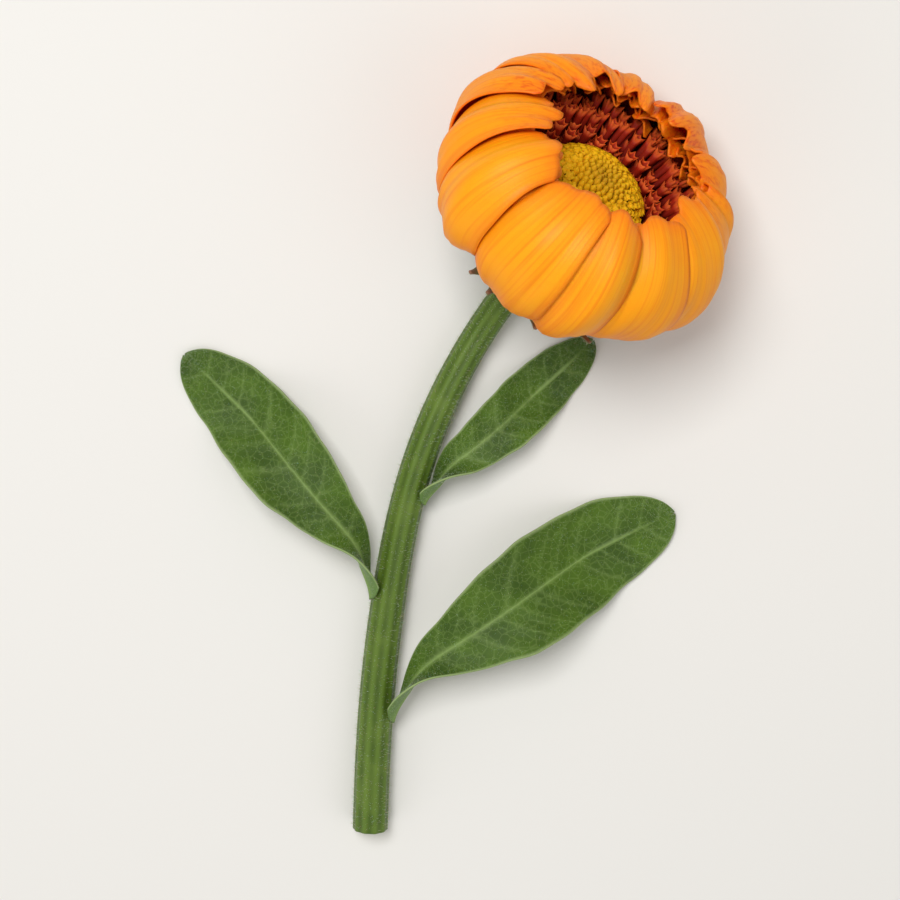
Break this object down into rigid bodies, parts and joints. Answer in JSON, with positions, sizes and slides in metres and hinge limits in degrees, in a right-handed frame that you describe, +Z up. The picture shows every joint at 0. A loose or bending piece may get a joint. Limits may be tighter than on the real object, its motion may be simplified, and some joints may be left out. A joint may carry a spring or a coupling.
{
  "type": "calendula flower",
  "caption": "Half-open orange calendula flower with dark throat and gold disc, picked with its leafy stem and lying on its side.",
  "frame": {"origin": "middle of the flower's bounding box, on the surface that it lies on", "axes": "+Z up from the surface, +Y along the flower from the cut end of the stem to the head"},
  "size_m": [0.0818, 0.1196, 0.0384],
  "materials": {
    "petal_orange": "satin",
    "floret_maroon": "matte",
    "disc_gold": "matte",
    "bract_green": "matte",
    "stem_green": "satin",
    "leaf_green": "satin"
  },
  "bodies": {
    "root": {"ray_petals": "petal_orange", "dark_florets": "floret_maroon", "disc_florets": "disc_gold", "involucre": "bract_green", "stem": "stem_green", "leaf_upper": "leaf_green", "leaf_middle": "leaf_green", "leaf_lower": "leaf_green"}
  },
  "joints": []
}
